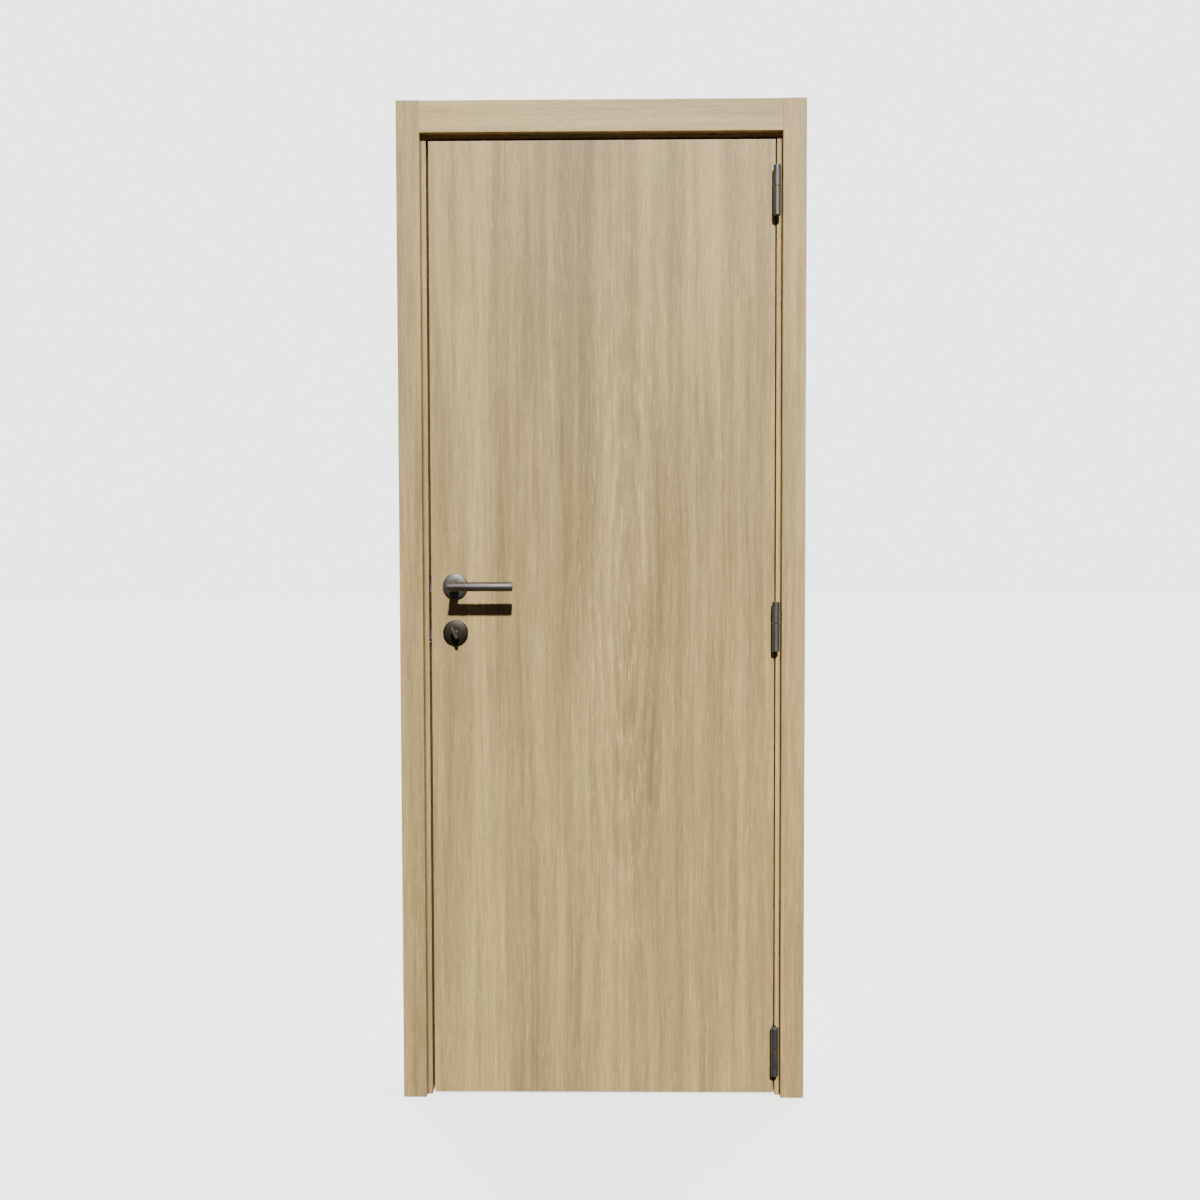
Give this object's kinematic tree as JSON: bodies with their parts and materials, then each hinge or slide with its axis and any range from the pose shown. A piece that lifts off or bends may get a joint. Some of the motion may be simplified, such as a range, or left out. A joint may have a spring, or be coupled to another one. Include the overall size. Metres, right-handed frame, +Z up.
{
  "type": "interior door with frame",
  "caption": "Flush oak-laminate interior door in its lined frame with casings, lift-off hinges, a round-bar lever and a thumb turn on round roses.",
  "frame": {"origin": "on the wall-side face of the hinge lining, at floor level, halfway through the wall", "axes": "+X out of the hinge lining into the wall, +Y from the hinge side's room through the wall, +Z up"},
  "size_m": [0.834, 0.1785, 2.055],
  "materials": {
    "oak_leaf": "satin laminate",
    "oak_frame": "satin laminate",
    "oak_frame_across": "satin laminate",
    "softwood": "sawn",
    "core_board": "raw board",
    "seal": "matt",
    "dark_steel": "dark satin",
    "satin_steel": "satin",
    "lever_steel": "satin",
    "bolt_metal": "polished",
    "zinc_case": "zinc plated",
    "washer": "satin"
  },
  "bodies": {
    "frame": {"hinge_lining": "oak_frame", "latch_lining": "oak_frame", "head_lining": "oak_frame_across", "hinge_stop": "oak_frame", "latch_stop": "oak_frame", "head_stop": "oak_frame_across", "hinge_seal": "seal", "latch_seal": "seal", "head_seal": "seal", "front_hinge_casing": "oak_frame", "front_latch_casing": "oak_frame", "front_head_casing": "oak_frame_across", "back_hinge_casing": "oak_frame", "back_latch_casing": "oak_frame", "back_head_casing": "oak_frame_across", "strike_plate": "satin_steel", "top_frame_hinge": "dark_steel", "middle_frame_hinge": "dark_steel", "bottom_frame_hinge": "dark_steel", "hinge_washers": "washer"},
    "leaf": {"front_skin": "oak_leaf", "back_skin": "oak_leaf", "hinge_stile": "oak_leaf", "latch_stile": "oak_leaf", "top_rail": "softwood", "bottom_rail": "softwood", "core": "core_board", "lock_case": "zinc_case", "lock_faceplate": "satin_steel", "latch_bolt": "bolt_metal", "dead_bolt": "bolt_metal", "top_leaf_hinge": "dark_steel", "middle_leaf_hinge": "dark_steel", "bottom_leaf_hinge": "dark_steel", "front_lever_rose": "lever_steel", "back_lever_rose": "lever_steel", "front_turn_rose": "lever_steel", "back_release_rose": "lever_steel"},
    "lever_set": {"front_lever": "lever_steel", "back_lever": "lever_steel", "lever_spindle": "zinc_case"},
    "turn_set": {"thumb_turn": "lever_steel", "release_disc": "lever_steel", "turn_spindle": "zinc_case"}
  },
  "joints": [
    {"name": "door_swing", "type": "hinge", "parent": "frame", "child": "leaf", "pos_m": [-0.0265, -0.062, 0.9], "axis": [0, 0, 1], "range_deg": [0, 165]},
    {"name": "lever_turn", "type": "hinge", "parent": "leaf", "child": "lever_set", "pos_m": [-0.687, -0.03, 1.068], "axis": [0, 1, 0], "range_deg": [0, 45], "stiffness_Nm_per_rad": 1.2, "springref_deg": -20.05},
    {"name": "thumb_turn_lock", "type": "hinge", "parent": "leaf", "child": "turn_set", "pos_m": [-0.687, -0.03, 0.972], "axis": [0, 1, 0], "range_deg": [-64, 26]}
  ]
}
